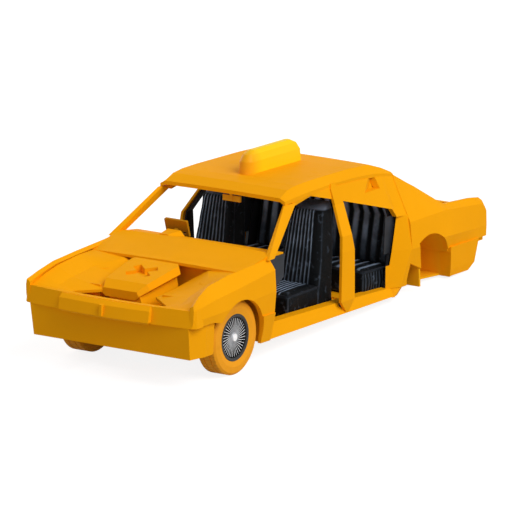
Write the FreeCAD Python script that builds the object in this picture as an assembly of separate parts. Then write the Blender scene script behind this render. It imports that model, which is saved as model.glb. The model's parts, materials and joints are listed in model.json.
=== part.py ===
"""Stripped four-door taxi cab: body shell, black trim and seats, front axle and roof sign.

Everything is drawn in the car's own level frame, in millimetres: X to the car's left, Y to the rear
from the front axle, Z up from the ground. The bare tail has no wheels under it, so the last step
pitches the car about its front axle until the rear valance stands on the ground.
"""
import FreeCAD, Part
import math
import os

V = FreeCAD.Vector

# Wheels and front axle
TYRE_RADIUS = 330.0
TYRE_WIDTH = 205.0
RIM_RADIUS = 208.0
HALF_TRACK = 730.0
KINGPIN_X = 640.0
STUB_RADIUS = 24.0
DAMPER_X = 556.0
SPOKES = 36

# Body
FLOOR_Z = 255.0
FLOOR_GAUGE = 22.0
SKIN = 42.0
ROOF_GAUGE = 34.0
TRIM_GAUGE = 14.0
ARCH_RADIUS = 371.0
ARCH_CENTRE_Z = 300.0
WHEELHOUSE_X = 330.0
WHEELHOUSE_REAR_Y = 396.0
SHEET = 24.0
PILLAR_GAUGE = 26.0
SCUTTLE_FRONT_Y = 130.0
BULKHEAD_Y = 215.0
WING_REAR_Y = 522.0
TAIL_Y = 3956.0
CLEARANCE = 0.5

# Door hinge bores in the wing's rear edge and the towing socket: (x, z) each; jacking pads: (y, z)
HINGE_BORE_RADIUS = 4.25
HINGE_BORE_DEPTH = 32.0
HINGE_BORES = ((862, 560), (856, 800))
TOW_BORE_RADIUS = 9.0
TOW_BORE = (520, 516)
TOW_BORE_DEPTH = 60.0
JACK_PADS = ((760, 214), (2280, 232))

# Tail edge that the stripped car stands on
VALANCE_FOOT_Y = 3742.0
VALANCE_FOOT_Z = 262.0

# Roof sign
SIGN_LENGTH = 850.0
SIGN_HEIGHT = 232.0
SIGN_FRONT_Y = 1298.0
SIGN_BASE_Z = 1412.0


# ---------------------------------------------------------------- shape helpers
def polygon(points):
    """Closed wire through 3-D points."""
    return Part.makePolygon([*points, points[0]])


def prism(points, axis, start, end):
    """Straight prism: each point holds the two other coordinates, in X, Y, Z order."""
    place = {
        "x": lambda a, b, t: V(t, a, b),
        "y": lambda a, b, t: V(a, t, b),
        "z": lambda a, b, t: V(a, b, t),
    }[axis]
    base = [place(a, b, start) for a, b in points]
    travel = place(0, 0, end) - place(0, 0, start)
    return Part.Face(polygon(base)).extrude(travel)


def block(x, y, z):
    """Box from three (low, high) pairs."""
    corner = V(x[0], y[0], z[0])
    return Part.makeBox(x[1] - x[0], y[1] - y[0], z[1] - z[0], corner)


def loft(wires):
    """Ruled solid through closed wires."""
    return Part.makeLoft(wires, True, True)


def loft_along_y(rows):
    """Ruled solid through (y, [(x, z), ...]) sections."""
    return loft([polygon([V(x, y, z) for x, z in points]) for y, points in rows])


def loft_along_z(rows):
    """Ruled solid through (z, [(x, y), ...]) sections."""
    return loft([polygon([V(x, y, z) for x, y in points]) for z, points in rows])


def cylinder(radius, length, base, direction):
    """Cylinder from its base centre along a direction."""
    return Part.makeCylinder(radius, length, base, direction)


def mirrored(shape):
    """Same shape on the car's other side."""
    return shape.mirror(V(0, 0, 0), V(1, 0, 0))


def cut(shape, tools):
    """Shape without the tools that reach it, and without crumbs left by the cut."""
    near = [tool for tool in tools if tool.BoundBox.intersect(shape.BoundBox)]
    if not near:
        return shape
    pieces = sorted(shape.cut(near).Solids, key=lambda piece: piece.Volume)
    whole = [piece for piece in pieces if piece.Volume > 0.01 * pieces[-1].Volume]
    return whole[0] if len(whole) == 1 else Part.Compound(whole)


def joined(shapes):
    """One clean solid from touching or overlapping shapes."""
    return shapes[0].fuse(shapes[1:]).removeSplitter()


# ---------------------------------------------------------------- body shell
def front_arch():
    """Round void that the front wheel turns and steers in."""
    hollow = cylinder(ARCH_RADIUS, 700, V(425, 0, ARCH_CENTRE_Z), V(1, 0, 0))
    return hollow.fuse(block((425, 1125), (-ARCH_RADIUS, ARCH_RADIUS), (0, ARCH_CENTRE_Z)))


def rear_arch(grow, inner_x, outer_x):
    """Prism of the empty rear wheel arch, upright in front and rounded behind, grown by a margin."""
    low_front, mid_front = V(inner_x, 2900 - grow, 100), V(inner_x, 2876 - grow, 425)
    high_front = V(inner_x, 2806 - grow, 672 + 0.6 * grow)
    crown_front = V(inner_x, 2870 - 0.3 * grow, 700 + grow)
    crown = V(inner_x, 3066 + 0.3 * grow, 720 + grow)
    crown_rear = V(inner_x, 3280 + grow, 575 + 0.4 * grow)
    high_rear, low_rear = V(inner_x, 3336 + grow, 490), V(inner_x, 3382 + grow, 100)
    edges = [Part.LineSegment(start, end).toShape() for start, end in
             ((low_front, mid_front), (mid_front, high_front), (high_front, crown_front))]
    edges.append(Part.Arc(crown_front, crown, crown_rear).toShape())
    edges += [Part.LineSegment(start, end).toShape() for start, end in
              ((crown_rear, high_rear), (high_rear, low_rear), (low_rear, low_front))]
    return Part.Face(Part.Wire(edges)).extrude(V(outer_x - inner_x, 0, 0))


def front_wing():
    """Left wing skin with its crest beside the bay and the cladding behind the wheel."""
    # y, foot x, foot z, waist x, waist z, shoulder x, shoulder z, crest x, crest z
    stations = (
        (-728, 868, 560, 880, 620, 884, 700, 876, 750),
        (-600, 886, 548, 896, 612, 887, 716, 846, 806),
        (-420, 886, 548, 900, 618, 889, 744, 818, 862),
        (-100, 884, 478, 900, 630, 888, 775, 804, 896),
        (330, 881, 466, 898, 650, 885, 822, 808, 922),
        (WING_REAR_Y, 880, 466, 895, 657, 880, 846, 814, 936),
    )
    rows = []
    for y, foot_x, foot_z, waist_x, waist_z, shoulder_x, shoulder_z, crest_x, crest_z in stations:
        outer = [(foot_x, foot_z), (waist_x, waist_z), (shoulder_x, shoulder_z), (crest_x, crest_z)]
        inner = [(crest_x - 34, crest_z - 22), (shoulder_x - SKIN, shoulder_z - 20),
                 (waist_x - SKIN, waist_z), (foot_x - SKIN, foot_z)]
        rows.append((y, outer + inner))
    skin = loft_along_y(rows)
    cladding = loft_along_z([
        (210, [(806, 330), (838, 330), (838, WING_REAR_Y), (806, WING_REAR_Y)]),
        (466, [(842, 330), (893, 330), (891, WING_REAR_Y), (842, WING_REAR_Y)]),
    ])
    hinge_bores = [cylinder(HINGE_BORE_RADIUS, HINGE_BORE_DEPTH, V(x, WING_REAR_Y, z), V(0, -1, 0))
                   for x, z in HINGE_BORES]
    return cut(joined([skin, cladding]), [front_arch(), *hinge_bores])


def front_bumper():
    """Deep one-piece apron and bumper, open behind."""
    def ring(z, corner_x, corner_y, side_x):
        wall = 48
        return (z, [(corner_x, corner_y), (side_x, -505), (side_x - 6, -372), (side_x - wall, -372),
                    (side_x - wall, -500), (corner_x - wall, corner_y + wall),
                    (wall - corner_x, corner_y + wall), (wall - side_x, -500), (wall - side_x, -372),
                    (6 - side_x, -372), (-side_x, -505), (-corner_x, corner_y)])
    shell = loft_along_z([ring(257, 823, -690, 852), ring(486, 831, -726, 862)])
    ledge = loft_along_z([ring(486, 831, -726, 862), ring(546, 833, -735, 864)])
    return cut(joined([shell, ledge]), [front_arch(), mirrored(front_arch())])


def nose_panel():
    """Bowed lamp band across the nose, its grille section standing proud with a centre rib."""
    low_z, high_z = 546, 700
    corner, tuck = 868, 600

    def band(z, half, side_y, bow_y, depth):
        front = Part.Arc(V(-half, side_y, z), V(0, bow_y, z), V(half, side_y, z))
        back_left, back_right = V(half, side_y + depth, z), V(-half, side_y + depth, z)
        back = Part.Arc(back_left, V(0, bow_y + depth, z), back_right)
        ends = [Part.LineSegment(V(half, side_y, z), back_left).toShape(),
                Part.LineSegment(back_right, V(-half, side_y, z)).toShape()]
        return Part.Wire([front.toShape(), ends[0], back.toShape(), ends[1]])

    lamps = loft([band(low_z, corner, -729, -800, 60), band(high_z, corner, -717, -788, 60)])
    # z, half width, end y, middle y
    levels = ((low_z - 8, 446, -796, -818), (low_z + 14, 470, -822, -850), (high_z - 40, 474, -806, -834),
              (high_z - 4, 466, -776, -800))
    grille = loft([band(z, half, side_y, bow_y, 50) for z, half, side_y, bow_y in levels])
    rib = block((-14, 14), (-866, -800), (low_z + 18, high_z - 34))
    corner_wrap = loft_along_z([
        (low_z, [(corner - 2, -729), (900, -700), (899, -tuck), (830, -tuck), (830, -669)]),
        (high_z, [(corner - 2, -717), (888, -690), (886, -tuck), (830, -tuck), (830, -657)]),
    ])
    return joined([lamps, grille, rib, corner_wrap, mirrored(corner_wrap)])


def radiator_panel():
    """Slam panel with its two big openings, standing behind the nose."""
    plate = block((-520, 520), (-640, -615), (300, 640))
    windows = [block((low, low + 440), (-650, -600), (350, 590)) for low in (-470, 30)]
    return cut(plate, windows)


def inner_wing():
    """Left inner wing: bay skin rising to the wing's crest, wheelhouse walls, rail and damper tower."""
    # y, bay edge x, bay edge z, middle x, middle z, crest x, crest z
    stations = ((-690, 520, 660, 640, 676, 846, 700), (-560, 480, 668, 640, 704, 812, 770),
                (-400, 262, 684, 620, 744, 786, 826), (-100, 262, 708, 600, 792, 770, 868),
                (SCUTTLE_FRONT_Y, 262, 744, 440, 846, 772, 872),
                (WHEELHOUSE_REAR_Y, 262, 744, 440, 846, 776, 890))
    rows = []
    for y, bay_x, bay_z, middle_x, middle_z, crest_x, crest_z in stations:
        top = [(bay_x, bay_z), (middle_x, middle_z), (crest_x, crest_z)]
        rows.append((y, top + [(x, z - SHEET) for x, z in reversed(top)]))
    skin = loft_along_y(rows)
    front_y = -ARCH_RADIUS - 30
    side = block((WHEELHOUSE_X, WHEELHOUSE_X + SHEET), (front_y, WHEELHOUSE_REAR_Y + SHEET), (215, 690))
    front = block((WHEELHOUSE_X, 836), (front_y, front_y + SHEET), (300, 715))
    rear = block((WHEELHOUSE_X, 836), (WHEELHOUSE_REAR_Y, WHEELHOUSE_REAR_Y + SHEET), (215, 840))
    rail = block((WHEELHOUSE_X - 40, WHEELHOUSE_X + SHEET), (-612, BULKHEAD_Y), (300, 390))
    tower = cylinder(95, 100, V(DAMPER_X, 0, 680), V(0, 0, 1))
    well = cylinder(78, 72, V(DAMPER_X, 0, 680), V(0, 0, 1))
    return joined([skin, side, front, rear, rail, tower]).cut(well)


def engine_block():
    """Engine as one block under a cover that climbs to the scuttle, with a cross-shaped recess."""
    # y, left x, right x, under z, top z
    stations = ((-424, -296, 96, 630, 704), (-340, -330, 150, 676, 768),
                (SCUTTLE_FRONT_Y - 60, -352, 196, 760, 862), (SCUTTLE_FRONT_Y - 4, -340, 150, 766, 866))
    rows = []
    for y, left_x, right_x, under_z, top_z in stations:
        rows.append((y, [(left_x + 40, under_z), (right_x - 40, under_z), (right_x, under_z + 34),
                         (right_x - 22, top_z), (left_x + 22, top_z), (left_x, under_z + 34)]))
    cover = loft_along_y(rows)
    head = loft_along_y([(-400, [(-210, 540), (140, 540), (90, 660), (-240, 660)]),
                         (110, [(-210, 540), (170, 540), (120, 790), (-240, 790)])])
    crankcase = block((-170, 170), (-400, 110), (225, 560))
    bars = []
    for turn in (38, -38):
        bar = block((-138, 138), (-36, 36), (780, 900))
        bar.rotate(V(0, 0, 0), V(0, 0, 1), turn)
        bars.append(bar.translated(V(-84, -120, 0)))
    return cut(joined([cover, head, crankcase]), bars)


def bulkhead():
    """Wall between the engine bay and the cabin, stepped in between the wheelhouses."""
    half = WHEELHOUSE_X
    outline = [(-half, 255), (half, 255), (half, 730), (760, 866), (-760, 866), (-half, 730)]
    return prism(outline, "y", BULKHEAD_Y, BULKHEAD_Y + SHEET)


def scuttle():
    """Long panel from the bay's rear edge up to the windscreen's foot, with its front lip."""
    return loft_along_y([
        (SCUTTLE_FRONT_Y, [(-782, 852), (782, 852), (782, 872), (0, 880), (-782, 872)]),
        (566, [(-812, 948), (812, 948), (812, 972), (0, 990), (-812, 972)]),
    ])


def a_pillar():
    """Left windscreen pillar, leaning in and back to the roof."""
    return loft_along_z([
        (930, [(796, 474), (850, 458), (838, 572), (784, 578)]),
        (1304, [(640, 986), (668, 960), (674, 1140), (626, 1132)]),
    ])


def roof_section(y, edge_x, edge_z, shoulder_x, shoulder_z, centre_z):
    """Roof skin's closed section: sloping cant, gently arched crown, one gauge thick."""
    low = -ROOF_GAUGE
    top = [V(edge_x, y, edge_z), V(shoulder_x, y, shoulder_z), V(0, y, centre_z),
           V(-shoulder_x, y, shoulder_z), V(-edge_x, y, edge_z)]
    bottom = [point + V(0, 0, low) for point in reversed(top)]
    edges = []
    for edge, shoulder, centre, far_shoulder, far_edge in (top, bottom):
        edges.append(Part.LineSegment(edge, shoulder).toShape())
        edges.append(Part.Arc(shoulder, centre, far_shoulder).toShape())
        edges.append(Part.LineSegment(far_shoulder, far_edge).toShape())
        edges.append(Part.LineSegment(far_edge, far_edge + V(0, 0, low)).toShape())
        low = -low
    return Part.Wire(edges)


# y, edge x, edge z, shoulder x, shoulder z, centre z
ROOF_STATIONS = (
    (985, 662, 1334, 610, 1362, 1368),
    (1100, 664, 1346, 606, 1414, 1421),
    (1240, 664, 1356, 602, 1432, 1439),
    (1450, 662, 1364, 598, 1438, 1445),
    (1740, 656, 1370, 594, 1438, 1445),
    (2100, 654, 1362, 594, 1436, 1443),
    (2400, 658, 1348, 604, 1423, 1430),
    (2560, 666, 1324, 628, 1372, 1378),
    (2700, 668, 1296, 646, 1312, 1316),
)


def roof_panel():
    """Roof skin from the windscreen header to the rear screen header."""
    return loft([roof_section(*row) for row in ROOF_STATIONS])


def roof_rail():
    """Left windscreen pillar and the rail under the roof edge, deepening to the rear, with its step."""
    # y, roof edge x, top z, opening x, opening z
    stations = (
        (1096, 666, 1316, 662, 1268),
        (1400, 664, 1338, 658, 1318),
        (1720, 660, 1344, 690, 1236),
        (2100, 658, 1334, 742, 1134),
        (2500, 664, 1306, 796, 1026),
        (2560, 665, 1298, 808, 946),
        (2690, 665, 1286, 830, 946),
    )
    rows = []
    for y, top_x, top_z, low_x, low_z in stations:
        rows.append((y, [(top_x, top_z), (low_x, low_z), (low_x - 45, low_z), (top_x - 62, top_z)]))
    step = prism([(730, 2130), (622, 2400), (760, 2452)], "z", 1216, 1340)
    return joined([a_pillar(), loft_along_y(rows)]).cut(step)


def b_pillar():
    """Left centre pillar: thin, proud of the sill, its foot tapering and its head lapping the rail."""
    # z, outer x, front y, rear y
    stations = ((238, 842, 1716, 1744), (352, 868, 1592, 1806), (800, 874, 1588, 1786),
                (940, 862, 1604, 1756), (1190, 718, 1696, 1834), (1330, 676, 1690, 1790),
                (1376, 662, 1708, 1762))
    rows = []
    for z, outer_x, front_y, rear_y in stations:
        inner_x = outer_x - PILLAR_GAUGE
        rows.append((z, [(outer_x, front_y), (outer_x, rear_y), (inner_x, rear_y), (inner_x, front_y)]))
    return loft_along_z(rows)


def b_pillar_trim():
    """Black inner cover of the left centre pillar, set back behind its edges."""
    # z, outer x, front y, rear y
    stations = ((300, 826, 1636, 1782), (800, 847, 1624, 1764), (940, 835, 1640, 1734),
                (1190, 691, 1726, 1812), (1296, 660, 1724, 1780))
    rows = []
    for z, outer_x, front_y, rear_y in stations:
        inner_x = outer_x - TRIM_GAUGE
        rows.append((z, [(outer_x, front_y), (outer_x, rear_y), (inner_x, rear_y), (inner_x, front_y)]))
    return loft_along_z(rows)


def sill():
    """Left sill box with its hinge post: the face leans out to the bottom edge over two jacking pads."""
    # y, bottom z, top z, bottom x
    stations = ((WHEELHOUSE_REAR_Y + SHEET, 218, 354, 838), (1000, 225, 346, 840), (2080, 237, 325, 842),
                (2480, 242, 312, 843))
    beam = loft_along_y([(y, [(foot_x, low_z), (800, high_z), (700, high_z), (700, low_z)])
                         for y, low_z, high_z, foot_x in stations])
    pads = [block((735, 805), (y - 60, y + 60), (low_z, 260)) for y, low_z in JACK_PADS]
    hinge_post = block((766, 802), (468, WING_REAR_Y - 6), (300, 900))
    return joined([beam, hinge_post, *pads])


def rear_quarter():
    """Left rear quarter: from the shut face of the rear door round the empty arch to the tail."""
    # y, foot x, foot z, waist x, waist z, shoulder x, shoulder z, top x, top z
    stations = (
        (2690, 872, 510, 895, 640, 868, 880, 665, 1296),
        (2880, 872, 428, 902, 648, 871, 886, 702, 1190),
        (2960, 872, 470, 903, 650, 872, 890, 720, 1148),
        (3250, 874, 508, 905, 660, 868, 892, 786, 976),
        (3345, 874, 540, 903, 656, 867, 886, 800, 930),
        (3790, 874, 540, 882, 640, 864, 852, 826, 914),
        (3880, 872, 540, 876, 640, 864, 842, 824, 900),
        (3930, 870, 540, 873, 640, 866, 812, 832, 866),
        (TAIL_Y, 869, 540, 872, 640, 867, 772, 842, 810),
    )
    rows = []
    for y, foot_x, foot_z, waist_x, waist_z, shoulder_x, shoulder_z, top_x, top_z in stations:
        outer = [(foot_x, foot_z), (waist_x, waist_z), (shoulder_x, shoulder_z), (top_x, top_z)]
        inner = [(top_x - 60, top_z - 12), (shoulder_x - 60, shoulder_z - 20),
                 (waist_x - 50, waist_z), (foot_x - 50, foot_z)]
        rows.append((y, outer + inner))
    skin = loft_along_y(rows)
    lower_front = loft_along_z([
        (232, [(776, 2440), (843, 2484), (806, 2592), (776, 2592)]),
        (350, [(776, 2440), (862, 2612), (806, 2744), (776, 2744)]),
        (514, [(776, 2440), (876, 2694), (806, 2830), (776, 2830)]),
    ])
    door_post = loft_along_z([
        (312, [(778, 2440), (861, 2560), (861, 2640), (778, 2640)]),
        (640, [(792, 2510), (894, 2672), (894, 2706), (792, 2706)]),
        (946, [(786, 2586), (838, 2684), (838, 2706), (750, 2706)]),
    ])
    rear_cladding = loft_along_z([
        (268, [(770, 3330), (866, 3330), (858, 3680), (770, 3680)]),
        (330, [(770, 3330), (878, 3330), (866, 3770), (770, 3770)]),
        (545, [(770, 3330), (897, 3330), (886, 3808), (770, 3808)]),
    ])
    shape = joined([skin, lower_front, door_post, rear_cladding])
    return cut(shape, [rear_arch(0, 430, 1130)])


def rear_wheelhouse():
    """Left rear wheelhouse: sheet shell round the empty arch, closed inside, with a tray across its foot."""
    inner_x = 430
    shell = rear_arch(SHEET, inner_x, 860).cut(rear_arch(0, inner_x + SHEET, 900))
    shell = shell.cut(block((0, 1000), (2000, 4000), (0, 262)))
    tray = prism([(inner_x, 2850), (664, 2850), (752, 3370), (inner_x, 3370)], "z", 262, 280)
    return joined([shell, tray])


def rear_panel():
    """Tail panel between the wings over the low valance that the car stands on, with a towing socket."""
    upper = loft_along_z([
        (536, [(-816, TAIL_Y - 48), (816, TAIL_Y - 48), (816, TAIL_Y), (-816, TAIL_Y)]),
        (800, [(-800, TAIL_Y - 56), (800, TAIL_Y - 56), (800, TAIL_Y - 8), (-800, TAIL_Y - 8)]),
    ])
    lip = prism([(3742, 536), (TAIL_Y, 536), (TAIL_Y, 496), (3742, 496)], "x", -832, 832)
    foot = VALANCE_FOOT_Z
    valance = prism([(3690, foot), (VALANCE_FOOT_Y, foot), (3790, 332), (3782, 496), (3742, 496),
                     (3742, 340), (3690, 300)], "x", -824, 824)
    tow_socket = cylinder(TOW_BORE_RADIUS, TOW_BORE_DEPTH, V(TOW_BORE[0], TAIL_Y, TOW_BORE[1]), V(0, -1, 0))
    return joined([upper, lip, valance]).cut(tow_socket)


def boot_floor():
    """Boot floor with a round spare-wheel well and the two rear rails under it."""
    plate = block((-770, 770), (2790, 3742), (420, 442))
    well = cylinder(300, 130, V(110, 3300, 312), V(0, 0, 1))
    rails = [block((side * 390 - 40, side * 390 + 40), (2790, 3742), (330, 420)) for side in (-1, 1)]
    left_arch = rear_arch(SHEET, 430, 900)
    spare = cylinder(284, 160, V(110, 3300, 328), V(0, 0, 1))
    return cut(joined([plate, well, *rails]), [spare, left_arch, mirrored(left_arch)])


def parcel_shelf():
    """Rear seat bulkhead with the shelf below the rear screen."""
    wall = block((-776, 776), (2770, 2790), (FLOOR_Z + FLOOR_GAUGE, 930))
    shelf = block((-776, 776), (2700, 3250), (930, 952))
    return joined([wall, shelf])


def floor_pan():
    """Cabin floor narrowing between the wheelhouses, with its long centre tunnel and cross ribs."""
    top = FLOOR_Z + FLOOR_GAUGE
    start, step, end, half = BULKHEAD_Y + SHEET, WHEELHOUSE_REAR_Y + SHEET, 2790, 700
    outline = [(-WHEELHOUSE_X, start), (WHEELHOUSE_X, start), (WHEELHOUSE_X, step), (half, step),
               (half, end), (-half, end), (-half, step), (-WHEELHOUSE_X, step)]
    plate = prism(outline, "z", FLOOR_Z, top)
    tunnel_outer = [(-150, top), (-110, top + 76), (110, top + 76), (150, top)]
    tunnel_inner = [(-126, FLOOR_Z), (-92, top + 54), (92, top + 54), (126, FLOOR_Z)]
    tunnel_end = 2050
    shape = plate.fuse(prism(tunnel_outer, "y", start, tunnel_end))
    shape = shape.cut(prism(tunnel_inner, "y", start, tunnel_end))
    ribs = [block((side * 425 - 225, side * 425 + 225), (y, y + 60), (top, top + 12))
            for side in (-1, 1) for y in (640, 1750, 1950)]
    return joined([shape, *ribs])


# ---------------------------------------------------------------- cabin
def dashboard():
    """Black dashboard body across the cabin under its painted top."""
    front = WHEELHOUSE_REAR_Y + SHEET
    profile = [(front, 640), (640, 640), (790, 720), (796, 925), (620, 925), (front, 888)]
    return prism(profile, "x", -790, 790)


def dash_top():
    """Painted dashboard top running on from the scuttle, with the instrument hood."""
    slab = prism([(566, 925), (800, 925), (800, 938), (566, 966)], "x", -776, 776)
    hood = loft_along_y([
        (640, [(-470, 930), (-290, 930), (-340, 972), (-420, 972)]),
        (800, [(-500, 930), (-260, 930), (-310, 984), (-450, 984)]),
    ])
    return joined([slab, hood])


def steering_column():
    """Column from the dashboard's hood to the wheel."""
    start, end = V(-404, 786, 900), V(-404, 876, 962)
    return cylinder(28, (end - start).Length, start, end - start)


def steering_wheel():
    """Squared steering wheel: full rectangular plate with crisp corners and two openings."""
    def plate(half_width, half_height, radius, low, high):
        body = block((-half_width, half_width), (-half_height, half_height), (low, high))
        uprights = [e for e in body.Edges if abs(e.tangentAt(e.FirstParameter).z) > 0.9]
        return body.makeFillet(radius, uprights)

    gauge = 24
    openings = [plate(34, 14, 8, -1, gauge + 1).translated(V(x, 42, 0)) for x in (-62, 62)]
    wheel = plate(120, 80, 10, 0, gauge).cut(openings)
    wheel.rotate(V(0, 0, 0), V(1, 0, 0), -72)
    return wheel.translated(V(-404, 872, 982))


def interior_mirror():
    """Mirror on a stem from the windscreen header."""
    glass = block((-94, 94), (1128, 1146), (1232, 1284))
    stem = block((-12, 12), (1116, 1128), (1240, 1400))
    return joined([glass, stem])


def headlining():
    """Black lining following the roof's underside."""
    rows = []
    for y, _, _, shoulder_x, shoulder_z, _ in ROOF_STATIONS[2:7]:
        half, high = shoulder_x - 10, shoulder_z - ROOF_GAUGE - 6
        low = high - TRIM_GAUGE
        rows.append((y, [(-half, low), (half, low), (half, high), (-half, high)]))
    return loft_along_y(rows)


def quarter_trim():
    """Black inner cover of the left rear quarter beside the seat."""
    return loft_along_z([
        (FLOOR_Z + FLOOR_GAUGE, [(742, 2440), (768, 2440), (768, 2766), (742, 2766)]),
        (860, [(742, 2560), (768, 2560), (768, 2766), (742, 2766)]),
        (1180, [(600, 2560), (626, 2560), (626, 2766), (600, 2766)]),
    ])


def front_seat():
    """Tall left front seat: box cushion and a high back that narrows and leans to its top."""
    # z, inner x, outer x, front y, rear y
    stations = ((294, 228, 704, 1456, 1708), (500, 230, 700, 1503, 1722), (720, 243, 690, 1547, 1748),
                (1136, 271, 640, 1631, 1796), (1212, 300, 612, 1762, 1800))
    rows = [(z, [(inner, front), (outer, front), (outer, rear), (inner, rear)])
            for z, inner, outer, front, rear in stations]
    back = loft_along_z(rows)
    cushion = prism([(1014, 294), (1000, 487), (1503, 497), (1456, 294)], "x", 230, 702)
    top = FLOOR_Z + FLOOR_GAUGE
    runners = [block((x, x + 36), (1030, 1690), (top, 294)) for x in (262, 634)]
    return joined([cushion, back, *runners])


def rear_seat():
    """Full-width rear bench with its reclined back."""
    top = FLOOR_Z + FLOOR_GAUGE + 2
    cushion = prism([(2150, top), (2150, 520), (2580, 500), (2580, top)], "x", -736, 736)
    back = prism([(2580, top), (2580, 500), (2660, 925), (2766, 925), (2766, top)], "x", -736, 736)
    upper = loft_along_z([
        (925, [(-736, 2660), (736, 2660), (736, 2766), (-736, 2766)]),
        (1130, [(-560, 2690), (560, 2690), (560, 2766), (-560, 2766)]),
    ])
    return joined([cushion, back, upper])


# ---------------------------------------------------------------- roof sign
def taxi_sign():
    """Long blank sign: upright flanks drawn in to a rounded crown, ends rounded in plan."""
    def outline(z, front, rear, half):
        corners = [V(-half, front + 45, z), V(half, front + 45, z),
                   V(half, rear - 30, z), V(-half, rear - 30, z)]
        return Part.Wire([
            Part.Arc(corners[0], V(0, front, z), corners[1]).toShape(),
            Part.LineSegment(corners[1], corners[2]).toShape(),
            Part.Arc(corners[2], V(0, rear, z), corners[3]).toShape(),
            Part.LineSegment(corners[3], corners[0]).toShape(),
        ])

    rear_y = SIGN_FRONT_Y + SIGN_LENGTH
    # height share, front inset, rear inset, half width
    levels = ((0.0, 0, 0, 75), (0.60, 12, 14, 68), (0.86, 48, 52, 51), (1.0, 120, 130, 24))
    wires = [outline(SIGN_BASE_Z + share * SIGN_HEIGHT, SIGN_FRONT_Y + front, rear_y - rear, half)
             for share, front, rear, half in levels]
    return loft(wires)


# ---------------------------------------------------------------- front axle
def front_subframe():
    """Cross beam with a tapered lower arm and ball stud to each side."""
    beam = block((-300, 300), (-60, 60), (165, 204))
    shapes = [beam]
    for side in (-1, 1):
        arm = [(side * 290, -60), (side * 290, 60), (side * KINGPIN_X, 28), (side * KINGPIN_X, -28)]
        shapes.append(prism(arm, "z", 172, 198))
        shapes.append(cylinder(28, 26, V(side * KINGPIN_X, 0, 172), V(0, 0, 1)))
    legs = [block((side * 270 - 24, side * 270 + 24), (-34, 34), (204, 300)) for side in (-1, 1)]
    return joined(shapes + legs)


def damper_legs():
    """Both damper legs, standing in the towers of the inner wings."""
    return Part.Compound([cylinder(27, 272, V(side * DAMPER_X, 0, 480), V(0, 0, 1)) for side in (-1, 1)])


def knuckle():
    """Left steering knuckle: upright, stub axle and steering arm."""
    upright = block((596, KINGPIN_X + 20), (-34, 34), (206, 455))
    stub = cylinder(STUB_RADIUS, 130, V(KINGPIN_X, 0, TYRE_RADIUS), V(1, 0, 0))
    steering_arm = block((596, 626), (30, 150), (250, 274))
    return joined([upright, stub, steering_arm])


def brake_disc():
    """Left brake disc with its bell."""
    profile = [V(700, 0, STUB_RADIUS + CLEARANCE), V(700, 0, 138), V(712, 0, 138), V(712, 0, 74),
               V(748, 0, 74), V(748, 0, STUB_RADIUS + CLEARANCE)]
    disc = Part.Face(polygon(profile)).revolve(V(0, 0, 0), V(1, 0, 0), 360)
    return disc.translated(V(0, 0, TYRE_RADIUS))


def tyre():
    """Left tyre: ribbed tread, turned shoulders and bead seat, as one revolved section."""
    half, bead, tread = TYRE_WIDTH / 2, RIM_RADIUS + CLEARANCE, TYRE_RADIUS
    # distance from the wheel's middle plane, radius
    outer_wall = [(half - 12, bead), (half, bead + 50), (half - 4, tread - 20), (half - 20, tread)]
    grooves = []
    for centre in (34, -34):
        grooves += [(centre + 6, tread), (centre + 3, tread - 8),
                    (centre - 3, tread - 8), (centre - 6, tread)]
    inner_wall = [(-x, radius) for x, radius in reversed(outer_wall)]
    section = Part.Face(polygon([V(HALF_TRACK + x, 0, radius)
                                 for x, radius in outer_wall + grooves + inner_wall]))
    ring = section.revolve(V(0, 0, 0), V(1, 0, 0), 360)
    return ring.translated(V(0, 0, TYRE_RADIUS))


def lace_wheel():
    """Left lace wheel: barrel, two layers of fine crossing spokes and a domed centre."""
    face = HALF_TRACK + TYRE_WIDTH / 2
    inner = HALF_TRACK - TYRE_WIDTH / 2 + 14
    profile = [V(inner, 0, RIM_RADIUS), V(inner, 0, RIM_RADIUS - 12), V(face - 46, 0, RIM_RADIUS - 30),
               V(face - 16, 0, RIM_RADIUS - 26), V(face - 10, 0, RIM_RADIUS - 14),
               V(face - 10, 0, RIM_RADIUS)]
    barrel = Part.Face(polygon(profile)).revolve(V(0, 0, 0), V(1, 0, 0), 360)
    hub_profile = [V(face - 78, 0, 0), V(face - 78, 0, 52), V(face - 22, 0, 46), V(face - 8, 0, 30),
                   V(face - 4, 0, 0)]
    hub = Part.Face(polygon(hub_profile)).revolve(V(0, 0, 0), V(1, 0, 0), 360)
    spokes = []
    for layer, lean in ((0, 1), (1, -1)):
        for index in range(SPOKES):
            turn = 360.0 * index / SPOKES
            x_low = face - 46 + layer * 15
            sweep = math.radians(lean * 24)
            root, tip = 40.0, RIM_RADIUS - 24
            start = V(0, 0, root)
            end = V(0, tip * math.sin(sweep), tip * math.cos(sweep))
            along = end - start
            across = V(0, along.z, -along.y).normalize() * 2.3
            corners = [start - across, start + across, end + across * 0.8, end - across * 0.8]
            face_wire = polygon([V(x_low, c.y, c.z) for c in corners])
            bar = Part.Face(face_wire).extrude(V(9, 0, 0))
            bar.rotate(V(0, 0, 0), V(1, 0, 0), turn)
            spokes.append(bar)
    stub_bore = cylinder(STUB_RADIUS + CLEARANCE, KINGPIN_X + 131 - 600, V(600, 0, 0), V(1, 0, 0))
    wheel = barrel.fuse([hub, *spokes]).cut(stub_bore)
    return wheel.translated(V(0, 0, TYRE_RADIUS))


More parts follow.
